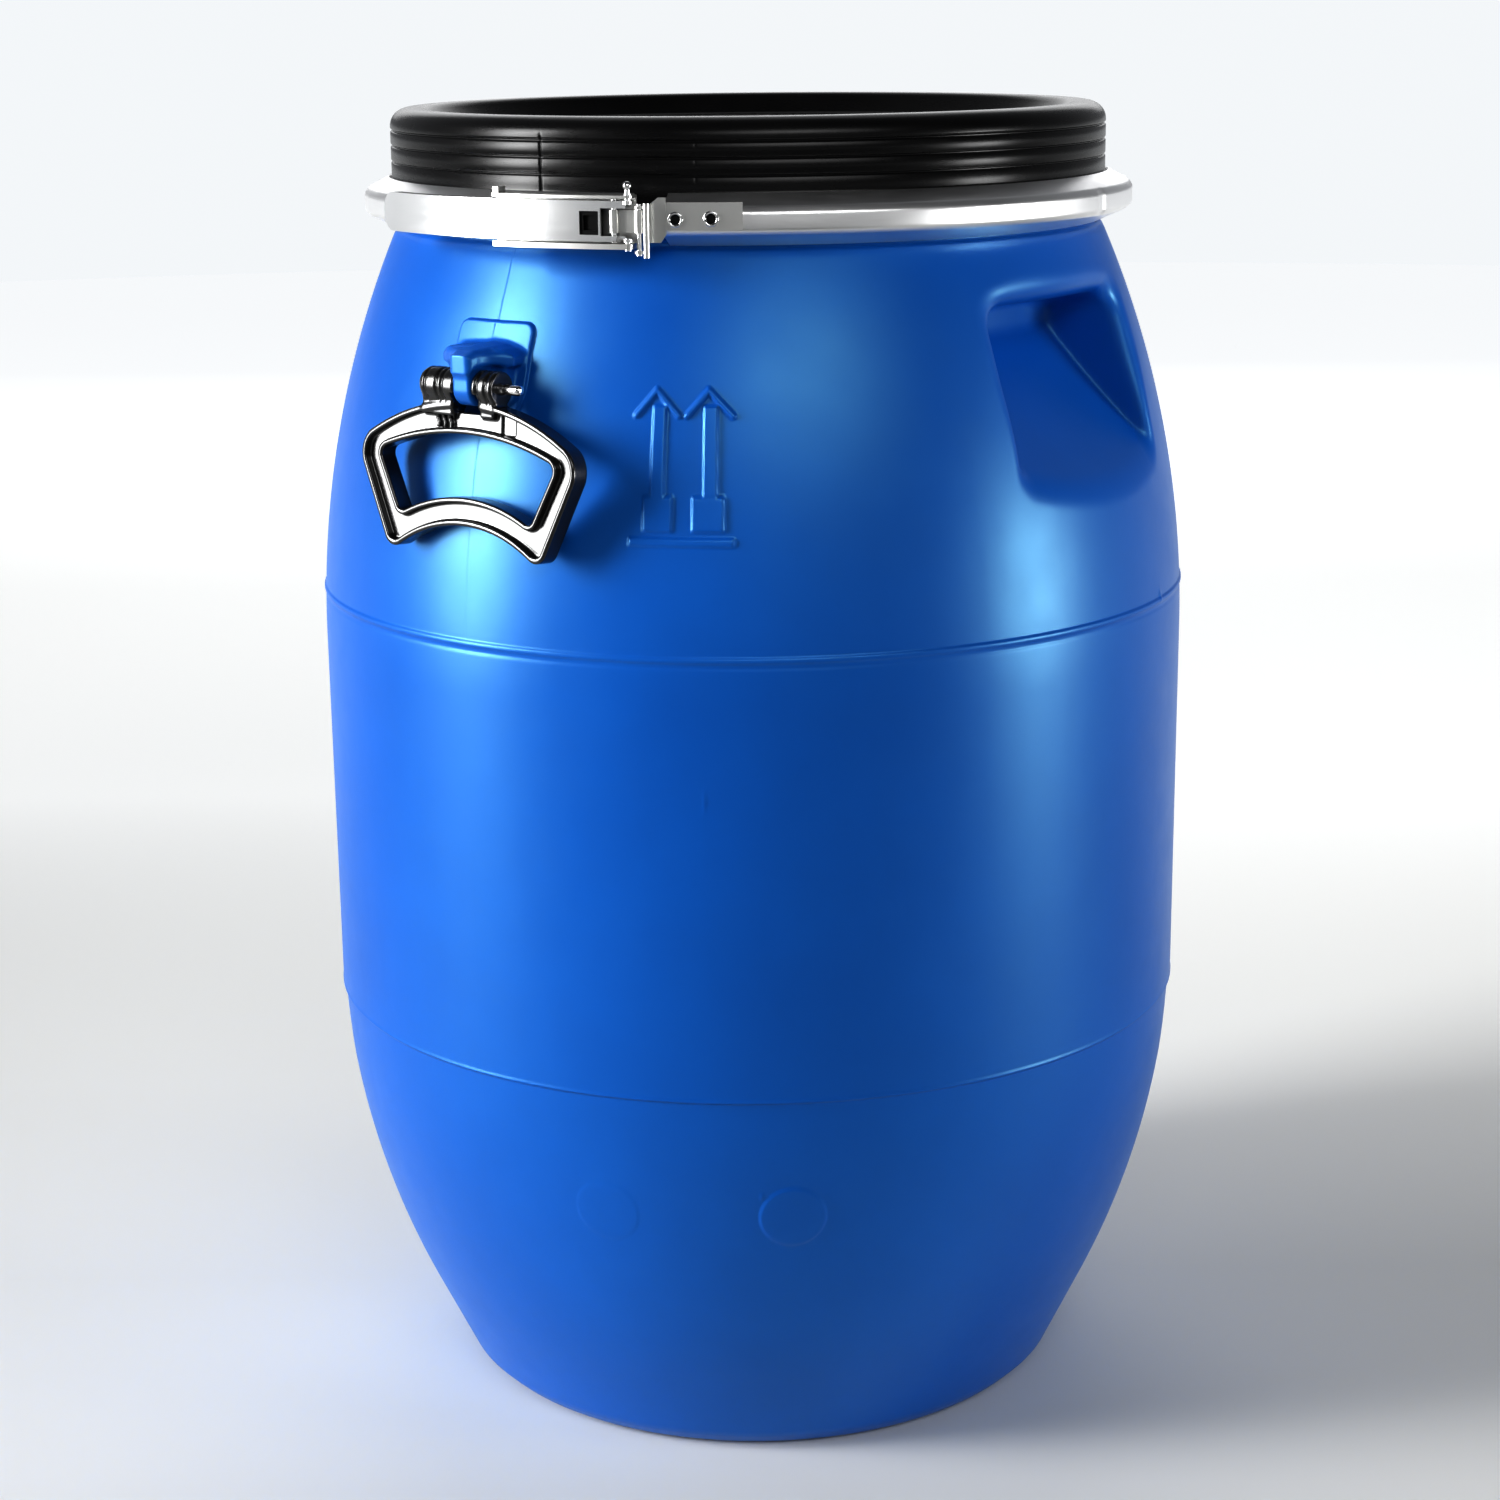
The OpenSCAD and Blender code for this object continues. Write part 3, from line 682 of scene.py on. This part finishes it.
def handle_field(p):
    x, y, z = p[..., 0], p[..., 1], p[..., 2]
    u = x - FRAME
    t = 4.5
    out, win = frame_edge(u, y), window_edge(u, y)
    flat = np.maximum(out, -win)
    plate = round2(flat, np.abs(z) - t, 1.0)
    # web between two raised rims, on the front
    web = round2(out + 2.35, 2.25 - win, 0.6)
    cut = round2(web, (t - 3.3) - z, 0.7)
    d = smax(plate, -cut, 0.7)
    # shallower channel at the back
    cutb = round2(web + 0.4, z + (t - 2.0), 0.8)
    d = smax(d, -cutb, 0.9)
    # ribs beside the notch, left of the tongue
    rib = np.maximum(np.abs(x + 6.6) - 5.2, np.maximum(np.abs(y + 13.8) - 3.6, np.abs(z - 1.6) - 1.5))
    rib = np.maximum(rib, 0.42 - 0.75 * (1 + np.sin((x * 1.9 + y * 0.25 + 0.6 * np.sin(y * 1.3)))) * 0.5)
    d = smin(d, rib, 0.4)
    # small blank square let into the web
    sq = np.maximum(np.maximum(np.abs(x - 27.2) - 3.6, np.abs(y + 14.3) - 4.2), np.abs(z - 1.2) - 0.9)
    d = smax(d, -sq, 0.2)
    # barrels on the pin, with grooves
    rr = np.hypot(y, z)
    g = np.zeros_like(x)
    for c, h in ((-8.6, 0.8), (-5.6, 0.6), (-15.0, 0.5), (13.6, 0.9), (18.4, 0.8)):
        g = g + h * np.exp(-((x - c) / 0.6) ** 2)
    dome = np.sqrt(np.maximum(7.25 ** 2 - (np.minimum(x + 15.3, 0) * 1.25) ** 2, 0.01))
    lb = round2(rr - (dome - g), np.maximum(x - 0.7, -20.3 - x), 1.0)
    rb = round2(rr - (7.25 - g), np.maximum(x - 21.7, 10.7 - x), 1.1)
    # necks from barrels to frame
    ln = round2(np.abs(x + 10.2) - 8.6, np.maximum(np.abs(z) - 4.0, np.maximum(y + 1.0, -12 - y)), 1.0)
    rn = round2(np.abs(x - 17.2) - 3.9, np.maximum(np.abs(z) - 4.0, np.maximum(y + 1.0, -12 - y)), 1.0)
    # notch for the tongue
    notch = np.maximum(np.abs(x - TONGUE) - 7.0, np.maximum(-10.8 - y, y + 3.0))
    d = smax(d, -notch, 1.0)
    b = smin(smin(lb, ln, 1.6), smin(rb, rn, 1.6), 0.5)
    b = smax(b, -notch, 1.0)
    d = smin(d, b, 1.5)
    # pin hole
    return np.maximum(d, 2.28 - rr)


hv, hf = surface_nets(handle_field, (-55, -74, -9.0), (69, 9.0, 9.0), 0.55)


def hang(v):
    """From the handle's own plane to its lug facing -Y."""
    x, y, z = v[:, 0], v[:, 1], v[:, 2]
    # the frame's +Z faces outwards (-Y), its -Y hangs down
    out, up = z.copy(), y.copy()
    c, s = math.cos(rad(LEAN)), math.sin(rad(LEAN))
    o2 = out * c - up * s
    u2 = up * c + out * s
    return np.stack([x, -(HP_RHO + o2), HP_Z + u2], -1)


hv = hang(hv)


def pin_piece():
    """Handle pin with a slightly rounded, peened end."""
    prof = [(0, -17.5), (1.7, -17.5), (2.15, -17.1), (2.25, -16.5), (2.25, 23.0), (2.05, 23.4), (2.05, 24.2), (2.25, 24.6), (2.25, 31.3), (2.0, 32.1), (1.4, 32.5), (0, 32.5)]
    n = 48
    a = np.arange(n) * 2 * math.pi / n
    V = np.array([[(x, -HP_RHO + r * math.cos(t), HP_Z + r * math.sin(t)) for t in a] for r, x in prof])
    F = grid_faces(len(prof), n, True)
    return V.reshape(-1, 3), F


pv, pf = pin_piece()
for side, az in (("left", -90), ("right", 90)):
    add_mesh(side + "_handle_frame", turn_z(hv, az), hf, side + "_handle", HANDLE, replaces=[side + "_handle"])
    add_mesh(side + "_pin_rod", turn_z(pv, az), pf, "drum", PIN, replaces=[side + "_handle_pin"], sharp=40,
             weld=True)


# ------------------------------------------------------------------ lid
def lid_profile():
    p = [(0.4, 587.0), (60, 587.0), (110, 587.0), (134, 587.0), (138.2, 587.05), (139.6, 587.4), (140.6, 588.2), (145.0, 594.9), (145.9, 596.0), (147.0, 596.7), (148.4, 597.0), (151, 597.0)]
    for i in range(13):
        a = rad(90 - 90 * i / 12)
        p.append((153.6 + 8 * math.cos(a), 589 + 8 * math.sin(a)))

    def groove(z, d, w):
        return [(161.6, z + w), (161.6 - d * 0.35, z + w * 0.55), (161.6 - d, z + w * 0.15), (161.6 - d, z - w * 0.15), (161.6 - d * 0.35, z - w * 0.55), (161.6, z - w)]
    p += groove(587.6, 0.9, 1.0) + groove(580.9, 0.8, 0.9) + groove(573.9, 0.7, 0.9)
    p += [(161.6, 569.5), (161.6, 568.0), (161.7, 567.2), (162.1, 566.4), (162.9, 565.75), (166, 564.1), (170.2, 561.95), (170.9, 561.4), (171.2, 560.6),
          (171.2, 556.7), (171.0, 556.2), (170.5, 556.0), (168.0, 556.0), (167.6, 556.2), (167.6, 559.6), (153.4, 559.6), (153.4, 556.2), (153.0, 556.0), (150.0, 556.0),
          (149.5, 555.6), (149.4, 555.0), (149.4, 541.6), (148.9, 540.5), (148.0, 540.0), (146.9, 540.0), (146.1, 540.5), (145.8, 541.4), (145.8, 561.6),
          (146.2, 562.4), (147.0, 562.6), (157.4, 562.6), (158.2, 562.9), (158.4, 563.6)]
    for i in range(8):
        a = rad(90 * i / 7)
        p.append((153.6 + 4.8 * math.cos(a), 589 + 4.8 * math.sin(a)))
    p += [(150.2, 593.8), (149.0, 593.2), (143.6, 585.4), (142.2, 584.2), (140.4, 583.8), (100, 583.8), (50, 583.8), (0.4, 583.8)]
    return p


def build_lid():
    p = np.array(lid_profile())
    # azimuth columns, finer near the vertical mould marks
    n = 360
    az = np.arange(n) * 360.0 / n
    extra = [a + ZONE + d for a in (-31.8, -7.6) for d in (-0.5, -0.34, -0.22, -0.1, 0, 0.1, 0.22, 0.34, 0.5)]
    az = np.unique(np.round(np.concatenate([az, np.array(extra) % 360]), 4))
    V = np.zeros((len(p), len(az), 3))
    for i, (r, z) in enumerate(p):
        rr = np.full(az.shape, r)
        if r > 161.0 and 566 < z < 589.5:
            for a, h in ((-31.8, 0.45), (-7.6, 0.12)):
                d = (az - ZONE - a + 180) % 360 - 180
                rr = rr - h * np.exp(-(d / 0.16) ** 2)
        V[i] = polar(az, rr, z)
    F = grid_faces(len(p), len(az), True)[:, ::-1]
    ob = add_mesh("lid_shell", V.reshape(-1, 3), F, "lid", LID, replaces=["lid"], sharp=50, weld=True)
    return ob


build_lid()

gp = [(154, 557.2), (154.4, 556.4), (155.2, 555.85), (156.4, 555.66), (164.6, 555.66), (165.8, 555.85), (166.6, 556.4), (167, 557.2), (167, 558.6), (166.4, 559.2), (154.6, 559.2), (154, 558.6)]
gv, gf = lathe(gp, 240)
add_mesh("gasket_ring", gv, gf[:, ::-1], "lid", GASKET, replaces=["lid_gasket"], sharp=50)


# ------------------------------------------------------------------ clamping ring
SHEET = 1.2


def offset_path(path, t):
    """Open path moved inwards (to its right) by t, with mitred corners."""
    p = np.asarray(path, float)
    d = np.diff(p, axis=0)
    d /= np.linalg.norm(d, axis=1, keepdims=True)
    nrm = np.stack([d[:, 1], -d[:, 0]], -1)
    out = []
    for i in range(len(p)):
        if i == 0:
            m = nrm[0]
        elif i == len(p) - 1:
            m = nrm[-1]
        else:
            m = nrm[i - 1] + nrm[i]
            m = m / np.linalg.norm(m)
            m = m / max(0.5, m @ nrm[i])
        out.append(p[i] + m * t)
    return np.array(out)


def smooth_path(path, radius, n=4):
    """Open path with each inner corner replaced by a short curve."""
    p = np.asarray(path, float)
    out = [p[0]]
    for i in range(1, len(p) - 1):
        a, b, c = p[i - 1], p[i], p[i + 1]
        u, w = a - b, c - b
        lu, lw = np.linalg.norm(u), np.linalg.norm(w)
        r = min(radius, lu * 0.45, lw * 0.45)
        s, e = b + u / lu * r, b + w / lw * r
        for k in range(n + 1):
            t = k / n
            out.append((1 - t) ** 2 * s + 2 * t * (1 - t) * b + t * t * e)
    out.append(p[-1])
    return np.array(out)


def sheet_section(path, t=SHEET, lip=0.35):
    """Closed section of a bent sheet whose outer face follows the path (top to bottom)."""
    inner = offset_path(path, t)
    a0, a1 = path[0], inner[0]
    b0, b1 = path[-1], inner[-1]
    m0, m1 = (a0 + a1) / 2, (b0 + b1) / 2
    return np.concatenate([path, [b0 * 0.25 + m1 * 0.75 + (b0 - path[-2]) / np.linalg.norm(b0 - path[-2]) * lip], inner[::-1],
                           [a1 * 0.25 + m0 * 0.75 + (a0 - path[1]) / np.linalg.norm(a0 - path[1]) * lip]])


band_path = smooth_path([(162.9, 567.25), (172.3, 562.45), (174.0, 560.0), (174.0, 553.0), (172.3, 551.0), (161.0, 546.1)], 0.9)
band_sec = sheet_section(band_path)
RING_GAP = (-69.2, -64.2)


def build_band():
    a0, a1 = RING_GAP[1], RING_GAP[0] + 360
    notch = 60.7 + ZONE
    az = list(np.arange(a0, a1, 1.0)) + [a1]
    az = [a for a in az if abs(((a - notch + 180) % 360) - 180) > 2.4] + [notch + d for d in np.arange(-2.4, 2.41, 0.3)]
    az = np.array(sorted(a if a >= a0 else a + 360 for a in az))
    k = len(az)
    V = []
    for r, z in band_sec:
        d = ((az - notch + 180) % 360) - 180
        dent = np.exp(-(np.abs(d) / 1.05) ** 4)
        w = math.exp(-((z - 556.5) / 5.2) ** 6)
        rr = r - dent * w * 0.75
        V.append(polar(az, rr, z))
    V = np.array(V)
    m = len(band_sec)
    i = np.arange(m)[:, None]
    j = np.arange(k - 1)[None, :]
    i2 = (i + 1) % m
    f = np.stack([i * k + j, i2 * k + j, i2 * k + j + 1, i * k + j + 1], -1).reshape(-1, 4)
    faces = [tuple(int(x) for x in q) for q in f]
    faces.append(tuple(int(q * k) for q in range(m))[::-1])
    faces.append(tuple(int(q * k + k - 1) for q in range(m)))
    return add_mesh("ring_band_sheet", V.reshape(-1, 3), faces, "ring", BAND, replaces=["ring_band"], sharp=35)


build_band()


# ------------------------------------------------------------------ hollow rivets, with near-black stems in their bores as painted shade of the holes
# near-black stem colour: painted shade deep in the rivet holes, on the real mandrel stems
STEM_SHADE = mat_black("rivet_stem", 0.004, 0.5, 0.7, 0.2, 0.3)
RIVET = [(2.4, 171.6), (2.4, 172.3), (2.2, 172.35), (2.2, 175.4), (3.05, 175.4), (3.2, 175.55), (3.2, 175.8), (3.08, 176.05),
         (2.8, 176.2), (2.5, 176.2), (2.2, 176.1), (2.02, 175.85), (2.0, 175.5), (2.0, 171.6)]
for k, (az, z) in enumerate([(-9.65 + ZONE, 557.6), (-4.95 + ZONE, 557.9)]):
    stem = [(0, 172.2), (1.8, 172.2), (1.96, 172.4), (1.96, 174.5), (1.8, 174.7), (1.2, 174.8), (0, 174.85)]
    a = np.arange(40) * 2 * math.pi / 40
    V = np.array([[(r * math.cos(t), -y, z + r * math.sin(t)) for t in a] for r, y in RIVET + RIVET[:1]])
    F = grid_faces(len(RIVET) + 1, 40, True)
    F = np.where(F >= 40 * len(RIVET), F - 40 * len(RIVET), F)
    add_mesh("right_rivet_%d" % (k + 1), turn_z(V[:-1].reshape(-1, 3), az), F, "ring_end", PIN,
             replaces=["right_rivets"], sharp=40)
    V = np.array([[(r * math.cos(t), -y, z + r * math.sin(t)) for t in a] for r, y in stem])
    # stems set back in the bores, coloured near-black as painted shade of the holes
    add_mesh("rivet_stem_%d" % (k + 1), turn_z(V.reshape(-1, 3), az), grid_faces(len(stem), 40, True), "ring_end", STEM_SHADE,
             sharp=40, weld=True)


# ------------------------------------------------------------------ carried-over nodes
# lever_plug takes the near-black painted shade of the lever's window
mats = {"left_bracket": CLOSURE, "left_rivets": CLOSURE, "right_bracket": CLOSURE, "right_rivets": CLOSURE, "lever": LEVER,
        "lever_plug": WINDOW_SHADE, "upper_hinge_pin": PIN, "lower_hinge_pin": PIN, "pull_link": CLOSURE, "lever_link_pin": PIN, "bracket_link_pin": PIN}
for node, m in mats.items():
    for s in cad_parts[node].material_slots:
        s.material = m


# ------------------------------------------------------------------ floor, light and camera
def stage_mat(name, colour, rough):
    n = Nodes(name)
    big = n.noise(0.8, 2.0, 0.5)
    c2 = tuple(x * 0.985 for x in colour)
    # the far floor glows a little, so that it stays as pale as the near one
    x, y, z = n.xyz()
    far = n.math("ADD", n.math("MULTIPLY", x, -math.sin(rad(ZONE))), n.math("MULTIPLY", y, math.cos(rad(ZONE))))
    n.set(Base_Color=n.ramp(big, [(0.3, c2 + (1,)), (0.7, tuple(colour) + (1,))]), Roughness=rough, Specular_IOR_Level=0.15,
          Emission_Color=(0.97, 0.985, 1.0, 1.0), Emission_Strength=n.math("ADD", n.span(far, 0.0, 0.57, 0.05, 1.0), n.span(far, 0.0, 0.28, 1.9, 3.8)))
    return n.mat


def build_stage():
    """Flat round pale floor, six metres in radius."""
    mat = stage_mat("pale_floor", (0.80, 0.795, 0.765), 0.85)
    n = 96
    rings = [(0.0001, -0.0005), (0.5, -0.0005), (1.2, -0.0005), (2.5, -0.0005), (6.0, -0.0005)]
    V = [[(r * math.cos(2 * math.pi * j / n), r * math.sin(2 * math.pi * j / n), z) for j in range(n)] for r, z in rings]
    V = np.array(V) * 1000
    F = grid_faces(len(rings), n, True)
    me = bpy.data.meshes.new("floor")
    me.from_pydata([tuple(v) for v in V.reshape(-1, 3) * MM], [], [tuple(int(x) for x in q) for q in F])
    me.materials.append(mat)
    ob = bpy.data.objects.new("floor", me)
    bpy.context.scene.collection.objects.link(ob)


build_stage()


def area(name, az, dist, height, size, power, colour=(1, 1, 1), aim=(0, 0, 0.33), size_y=None):
    """Soft box at an azimuth seen from the camera's side."""
    L = bpy.data.lights.new(name, "AREA")
    L.energy, L.color = power, colour
    L.shape = "RECTANGLE"
    L.size, L.size_y = size, size_y or size
    ob = bpy.data.objects.new(name, L)
    a = rad(az + ZONE)
    pos = np.array([math.sin(a) * dist, -math.cos(a) * dist, height])
    d = np.array(aim) - pos
    from mathutils import Vector
    ob.location = pos
    ob.rotation_mode = "QUATERNION"
    ob.rotation_quaternion = Vector(d).to_track_quat("-Z", "Y")
    bpy.context.scene.collection.objects.link(ob)
    return ob


def soft_box(name, az, el, dist, size, power, size_y=None, aim=(0, 0, 0.32), spread=180):
    ob = area(name, az, dist * math.cos(rad(el)), 0.32 + dist * math.sin(rad(el)), size, power, aim=aim, size_y=size_y)
    ob.data.spread = rad(spread)
    return ob


soft_box("key_left", -74, 14, 2.0, 0.60, 12.0, size_y=1.5, spread=60)
soft_box("front_strip", 14, 30, 2.5, 2.4, 4.2, size_y=0.6, aim=(0, 0, 0.36), spread=60)
soft_box("fill_right", 75, -2, 2.0, 0.60, 2.7, size_y=0.8, aim=(0, 0, 0.34), spread=50)
soft_box("back_low", 180, 22, 3.5, 3.0, 24, size_y=1.6)
soft_box("back_high", 180, 50, 3.0, 2.0, 10)

world = bpy.data.worlds.new("studio")
bpy.context.scene.world = world
world.use_nodes = True
wt = world.node_tree
bg = wt.nodes["Background"]
tc = wt.nodes.new("ShaderNodeTexCoord")
dot = wt.nodes.new("ShaderNodeVectorMath")
dot.operation = "DOT_PRODUCT"
ca = rad(ZONE)
dot.inputs[1].default_value = (-math.sin(ca), math.cos(ca), 0.0)     # away from the camera
wt.links.new(tc.outputs["Generated"], dot.inputs[0])
wr = wt.nodes.new("ShaderNodeValToRGB")
wr.color_ramp.elements[0].position, wr.color_ramp.elements[0].color = 0.45, (0.04, 0.041, 0.044, 1)
wr.color_ramp.elements[1].position, wr.color_ramp.elements[1].color = 0.95, (0.40, 0.41, 0.43, 1)
mr = wt.nodes.new("ShaderNodeMapRange")
mr.inputs["From Min"].default_value, mr.inputs["From Max"].default_value = -1.0, 1.0
wt.links.new(dot.outputs["Value"], mr.inputs["Value"])
wt.links.new(mr.outputs["Result"], wr.inputs["Fac"])
# below the horizon the room is plain and pale, seen only past the floor's edge
sep = wt.nodes.new("ShaderNodeSeparateXYZ")
wt.links.new(tc.outputs["Generated"], sep.inputs["Vector"])
low = wt.nodes.new("ShaderNodeMath")
low.operation = "LESS_THAN"
low.inputs[1].default_value = 0.004
wt.links.new(sep.outputs["Z"], low.inputs[0])
wm = wt.nodes.new("ShaderNodeMix")
wm.data_type = "RGBA"
wm.inputs["B"].default_value = (0.925, 0.945, 0.963, 1)
wt.links.new(low.outputs["Value"], wm.inputs["Factor"])
wt.links.new(wr.outputs["Color"], wm.inputs["A"])
wt.links.new(wm.outputs["Result"], bg.inputs["Color"])
bg.inputs["Strength"].default_value = 1.0

cam_d = bpy.data.cameras.new("camera")
cam = bpy.data.objects.new("camera", cam_d)
bpy.context.scene.collection.objects.link(cam)
bpy.context.scene.camera = cam
D, ZC, PITCH, F_PX, ROLL, YAW = 1347.36, 642.74, 0.25352, 2899.6, -0.011018, -0.0016195
cam_d.sensor_width = 36.0
cam_d.lens = F_PX / 1500 * 36.0
cam_d.clip_start, cam_d.clip_end = 0.05, 50
fwd = np.array([math.sin(YAW) * math.cos(PITCH), math.cos(YAW) * math.cos(PITCH), -math.sin(PITCH)])
right = np.array([math.cos(YAW), -math.sin(YAW), 0.0])
up = np.cross(right, fwd)
r2 = math.cos(ROLL) * right + math.sin(ROLL) * up
u2 = -math.sin(ROLL) * right + math.cos(ROLL) * up
M = Matrix(((r2[0], u2[0], -fwd[0], 0.0), (r2[1], u2[1], -fwd[1], -D * MM), (r2[2], u2[2], -fwd[2], ZC * MM), (0, 0, 0, 1)))
cam.matrix_world = Matrix.Rotation(rad(ZONE), 4, "Z") @ M

vs = bpy.context.scene.view_settings
vs.view_transform = "Standard"
vs.look = "None"
vs.exposure = 0.0
vs.gamma = 0.75

bpy.context.view_layer.update()
